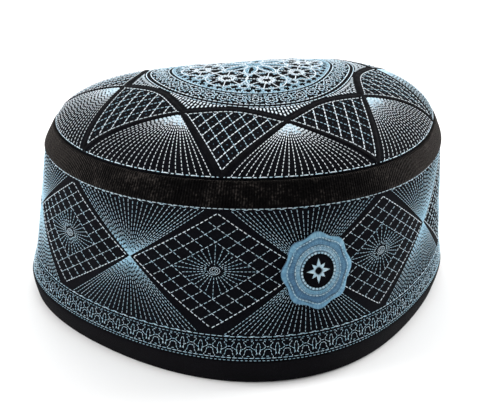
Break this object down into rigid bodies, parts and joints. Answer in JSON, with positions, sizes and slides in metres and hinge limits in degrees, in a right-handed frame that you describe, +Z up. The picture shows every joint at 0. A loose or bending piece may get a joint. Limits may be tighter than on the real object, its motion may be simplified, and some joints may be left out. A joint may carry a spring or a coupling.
{
  "type": "embroidered kufi cap",
  "caption": "Soft round brimless cap with a tall embroidered side wall, a low domed crown, a ribbed seam tape, a folded rim binding and a round front patch.",
  "frame": {"origin": "centre of the rim's bounding box, on the surface that the rim rests on", "axes": "+Z up through the crown, -Y out of the front, where the round patch is, +X to the right of a viewer who faces the patch"},
  "size_m": [0.1998, 0.1956, 0.1006],
  "materials": {
    "crown": "black cotton with white and light blue embroidery",
    "side_wall": "black cotton with white and light blue embroidery",
    "seam_band": "brownish black ribbed tape",
    "hem_band": "plain black cotton binding",
    "badge_patch": "light blue satin stitch"
  },
  "bodies": {
    "root": {"crown": "crown", "side_wall": "side_wall", "seam_band": "seam_band", "hem_band": "hem_band", "badge_patch": "badge_patch"}
  },
  "joints": []
}
